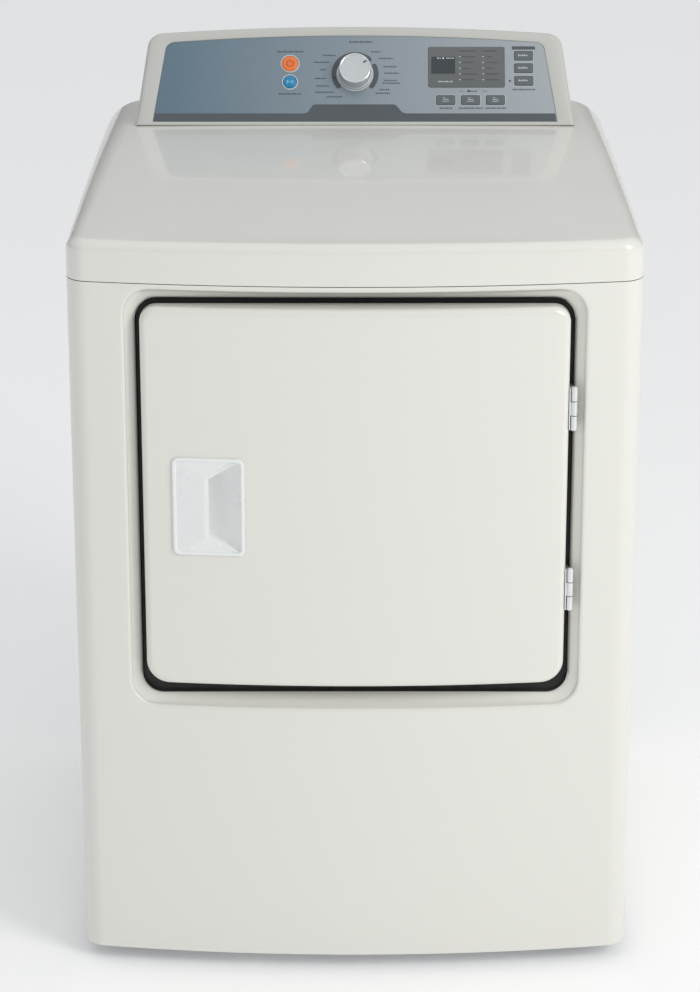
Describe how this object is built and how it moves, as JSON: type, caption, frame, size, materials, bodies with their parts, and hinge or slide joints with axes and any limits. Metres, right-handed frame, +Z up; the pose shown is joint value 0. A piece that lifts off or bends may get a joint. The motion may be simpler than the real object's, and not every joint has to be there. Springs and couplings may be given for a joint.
{
  "type": "clothes dryer",
  "caption": "Front-loading vented tumble dryer with bowed front, inset door, raised sloping console, belt-driven drum, blower, lint filter and rear exhaust outlet",
  "frame": {"origin": "on the floor, under the middle of the machine (bottom centre of its box)", "axes": "+X to the right seen from the front, +Y to the rear, +Z up; the door faces -Y"},
  "size_m": [0.69, 0.72, 1.0869],
  "materials": {
    "enamel": "glossy warm white baked enamel",
    "galvanised": "zinc-coated sheet, satin",
    "drum_steel": "satin coated steel",
    "shaft_steel": "bright steel",
    "hinge_zinc": "bright zinc plate",
    "console_plastic": "warm white moulded plastic, gloss",
    "fascia_blue": "blue-grey metallic film, satin",
    "display_black": "smoked, gloss",
    "dial_silver": "silver paint over plastic",
    "button_orange": "translucent orange",
    "button_blue": "translucent blue",
    "button_grey": "satin grey",
    "handle_white": "white moulded plastic",
    "nylon": "natural nylon",
    "housing_plastic": "grey moulded plastic",
    "felt": "pressed wool felt",
    "black_rubber": "matt",
    "foot_black": "matt",
    "motor_casting": "cast, matt",
    "board_green": "solder resist",
    "heater_wire": "dark oxide"
  },
  "bodies": {
    "cabinet": {"base_pan": "galvanised", "left_side_panel": "enamel", "right_side_panel": "enamel", "rear_panel": "galvanised", "front_panel": "enamel", "top_panel": "enamel", "front_bulkhead": "galvanised", "rear_bulkhead": "galvanised", "drum_bearing": "nylon", "drum_glides": "nylon", "front_felt_seal": "felt", "rear_felt_seal": "felt", "console_frame": "console_plastic", "console_rear_cover": "console_plastic", "control_fascia": "fascia_blue", "display_window": "display_black", "control_board": "board_green", "drive_belt": "black_rubber", "motor_housing": "motor_casting", "motor_bracket": "galvanised", "blower_housing": "housing_plastic", "exhaust_duct": "galvanised", "lint_filter_housing": "housing_plastic", "idler_spring": "shaft_steel", "heater_housing": "galvanised", "heater_coil": "heater_wire", "terminal_cover": "galvanised", "door_catch": "handle_white", "door_switch": "handle_white", "hinge_leaves_fixed": "hinge_zinc", "cabinet_screws": "shaft_steel"},
    "door": {"door_outer_panel": "enamel", "door_inner_panel": "enamel", "door_handle_cup": "handle_white", "door_seal": "felt", "door_strike": "shaft_steel", "hinge_leaves_moving": "hinge_zinc"},
    "drum": {"drum_shell": "drum_steel", "drum_back": "drum_steel", "drum_baffles": "nylon", "drum_axle": "shaft_steel"},
    "motor_rotor": {"motor_shaft": "shaft_steel", "blower_wheel": "nylon"},
    "belt_tensioner": {"idler_arm": "galvanised"},
    "tension_pulley": {"idler_pulley": "housing_plastic"},
    "dial": {"cycle_dial": "dial_silver"},
    "power_key": {"power_button": "button_orange"},
    "start_key": {"start_button": "button_blue"},
    "upper_key": {"option_button_upper": "button_grey"},
    "middle_key": {"option_button_middle": "button_grey"},
    "lower_key": {"option_button_lower": "button_grey"},
    "left_key": {"option_button_left": "button_grey"},
    "centre_key": {"option_button_centre": "button_grey"},
    "right_key": {"option_button_right": "button_grey"},
    "filter": {"lint_filter": "nylon"},
    "switch_plunger": {"door_switch_plunger": "black_rubber"},
    "foot_front_left": {"levelling_foot_front_left": "foot_black"},
    "foot_front_right": {"levelling_foot_front_right": "foot_black"},
    "foot_rear_left": {"levelling_foot_rear_left": "foot_black"},
    "foot_rear_right": {"levelling_foot_rear_right": "foot_black"}
  },
  "joints": [
    {"name": "door_hinge", "type": "hinge", "parent": "cabinet", "child": "door", "pos_m": [0.263, -0.338, 0.633], "axis": [0, 0, 1], "range_deg": [0, 110]},
    {"name": "drum_spin", "type": "hinge", "parent": "cabinet", "child": "drum", "pos_m": [0, 0, 0.57], "axis": [0, 1, 0], "continuous": true},
    {"name": "motor_spin", "type": "hinge", "parent": "cabinet", "child": "motor_rotor", "pos_m": [0, 0, 0.13], "axis": [0, 1, 0], "continuous": true},
    {"name": "tensioner_pivot", "type": "hinge", "parent": "cabinet", "child": "belt_tensioner", "pos_m": [-0.15, 0.039, 0.066], "axis": [0, -1, 0], "range_deg": [0, 8], "stiffness_Nm_per_rad": 8, "springref_deg": -17.19},
    {"name": "tension_pulley_spin", "type": "hinge", "parent": "belt_tensioner", "child": "tension_pulley", "pos_m": [-0.09178, 0.025, 0.1702], "axis": [0, 1, 0], "continuous": true},
    {"name": "dial_turn", "type": "hinge", "parent": "cabinet", "child": "dial", "pos_m": [0, 0.21664, 1.03077], "axis": [0, -0.8192, 0.5736], "range_deg": [-80, 190]},
    {"name": "power_press", "type": "slide", "parent": "cabinet", "child": "power_key", "axis": [0, 0.8192, -0.5736], "range_m": [0, 0.002], "stiffness_N_per_m": 500, "springref_m": -0.003},
    {"name": "start_press", "type": "slide", "parent": "cabinet", "child": "start_key", "axis": [0, 0.8192, -0.5736], "range_m": [0, 0.002], "stiffness_N_per_m": 500, "springref_m": -0.003},
    {"name": "upper_press", "type": "slide", "parent": "cabinet", "child": "upper_key", "axis": [0, 0.8192, -0.5736], "range_m": [0, 0.0015], "stiffness_N_per_m": 500, "springref_m": -0.003},
    {"name": "middle_press", "type": "slide", "parent": "cabinet", "child": "middle_key", "axis": [0, 0.8192, -0.5736], "range_m": [0, 0.0015], "stiffness_N_per_m": 500, "springref_m": -0.003},
    {"name": "lower_press", "type": "slide", "parent": "cabinet", "child": "lower_key", "axis": [0, 0.8192, -0.5736], "range_m": [0, 0.0015], "stiffness_N_per_m": 500, "springref_m": -0.003},
    {"name": "left_press", "type": "slide", "parent": "cabinet", "child": "left_key", "axis": [0, 0.8192, -0.5736], "range_m": [0, 0.0015], "stiffness_N_per_m": 500, "springref_m": -0.003},
    {"name": "centre_press", "type": "slide", "parent": "cabinet", "child": "centre_key", "axis": [0, 0.8192, -0.5736], "range_m": [0, 0.0015], "stiffness_N_per_m": 500, "springref_m": -0.003},
    {"name": "right_press", "type": "slide", "parent": "cabinet", "child": "right_key", "axis": [0, 0.8192, -0.5736], "range_m": [0, 0.0015], "stiffness_N_per_m": 500, "springref_m": -0.003},
    {"name": "filter_lift", "type": "slide", "parent": "cabinet", "child": "filter", "axis": [0, 0, 1], "range_m": [0, 0.21]},
    {"name": "switch_travel", "type": "slide", "parent": "cabinet", "child": "switch_plunger", "axis": [0, -1, 0], "range_m": [0, 0.004]},
    {"name": "foot_turn_front_left", "type": "hinge", "parent": "cabinet", "child": "foot_front_left", "pos_m": [-0.288, -0.268, 0.02], "axis": [0, 0, 1], "continuous": true},
    {"name": "foot_turn_front_right", "type": "hinge", "parent": "cabinet", "child": "foot_front_right", "pos_m": [0.288, -0.268, 0.02], "axis": [0, 0, 1], "continuous": true},
    {"name": "foot_turn_rear_left", "type": "hinge", "parent": "cabinet", "child": "foot_rear_left", "pos_m": [-0.288, 0.272, 0.02], "axis": [0, 0, 1], "continuous": true},
    {"name": "foot_turn_rear_right", "type": "hinge", "parent": "cabinet", "child": "foot_rear_right", "pos_m": [0.288, 0.272, 0.02], "axis": [0, 0, 1], "continuous": true}
  ],
  "couplings": [
    {"joint": "motor_spin", "follows": "drum_spin", "ratio": 26},
    {"joint": "tension_pulley_spin", "follows": "drum_spin", "ratio": -13},
    {"joint": "switch_travel", "follows": "door_hinge", "m_per_rad": 0.002}
  ]
}
